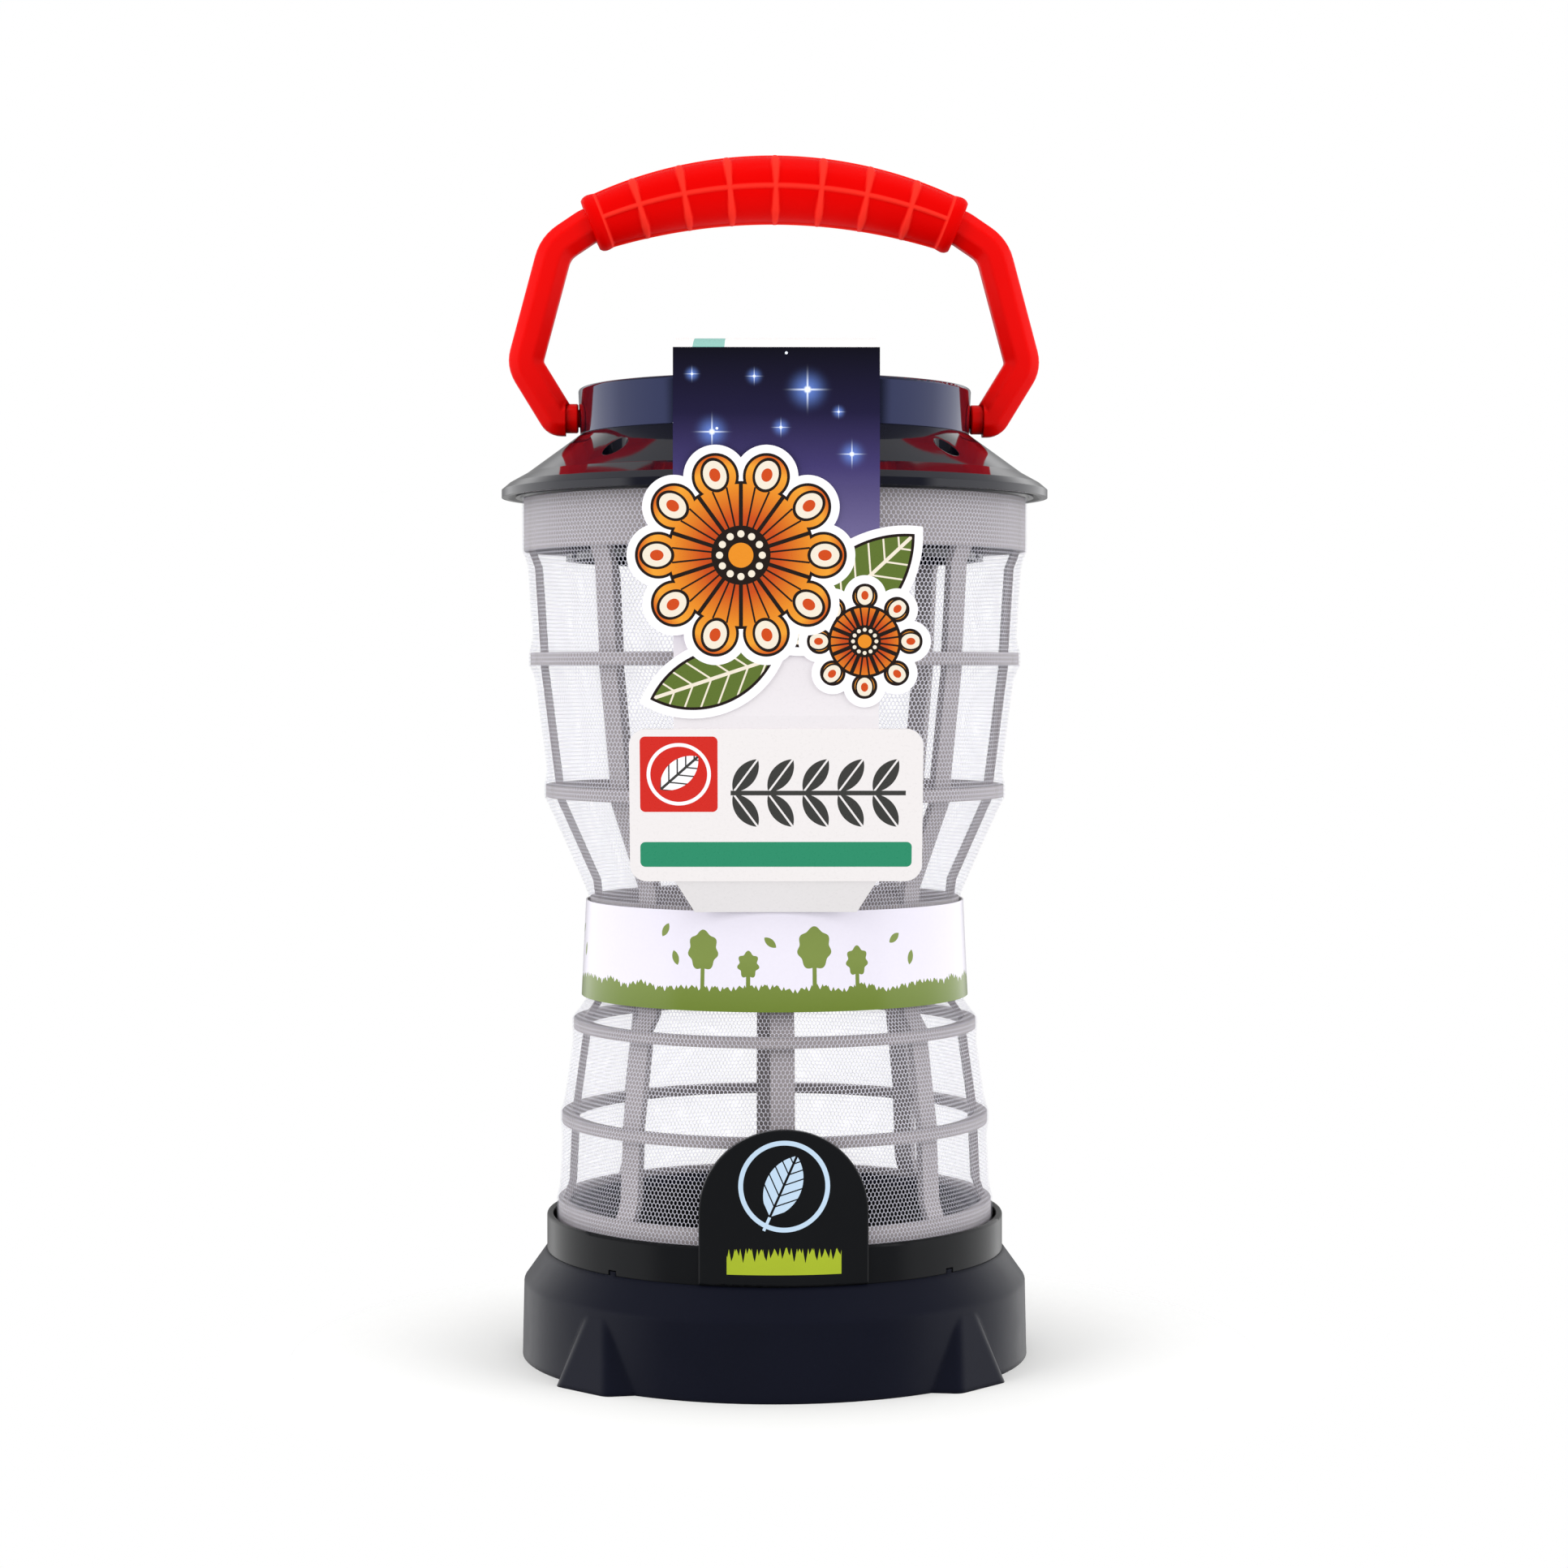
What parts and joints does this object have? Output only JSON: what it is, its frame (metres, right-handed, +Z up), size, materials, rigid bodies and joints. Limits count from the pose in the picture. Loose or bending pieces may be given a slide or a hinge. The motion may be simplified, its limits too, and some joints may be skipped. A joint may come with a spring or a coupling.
{
  "type": "insect cage",
  "caption": "Lantern-shaped insect cage: ribbed frame in a stretched net sleeve, conical lid with a swinging carrying handle, and a broad base that the cage lifts off.",
  "frame": {"origin": "middle of the base's underside, on the floor", "axes": "+Z up, -Y to the front with the shield and the card's picture, +X to the right"},
  "size_m": [0.1338, 0.1381, 0.2939],
  "materials": {
    "base_navy": "matte moulded polypropylene, navy black",
    "pan_black": "matte moulded polypropylene, black",
    "collar_black": "semi-gloss moulded plastic, black",
    "frame_grey": "moulded plastic, mid grey",
    "net_white": "white knitted polyester net",
    "lid_navy": "glossy moulded plastic, navy black",
    "screw_steel": "plated self-tapping screw",
    "bail_red": "semi-gloss moulded polypropylene, red",
    "grip_red": "soft moulded grip, red",
    "clip_steel": "spring steel push-on clip",
    "band_paper": "gloss printed paper, white and grass green",
    "strap_card": "gloss printed card, night blue to pale lilac",
    "picture_card": "gloss printed card, orange with a white border",
    "plate_card": "gloss printed card, pale grey"
  },
  "bodies": {
    "base": {"base_shell": "base_navy", "floor_pan": "pan_black"},
    "cage": {"collar": "collar_black", "lower_frame": "frame_grey", "upper_frame": "frame_grey", "net_sleeve": "net_white", "lid_brim": "lid_navy", "lid_drum": "lid_navy", "lid_screws": "screw_steel", "waist_band": "band_paper", "card_strap": "strap_card", "card_picture": "picture_card", "label_plate": "plate_card"},
    "handle": {"bail": "bail_red", "grip_sleeve": "grip_red", "pivot_clips": "clip_steel"}
  },
  "joints": [
    {"name": "cage_lift", "type": "slide", "parent": "base", "child": "cage", "axis": [0, 0, 1], "range_m": [0, 0.07]},
    {"name": "handle_swing", "type": "hinge", "parent": "cage", "child": "handle", "pos_m": [0, 0, 0.2291], "axis": [1, 0, 0], "range_deg": [-60, 60]}
  ]
}
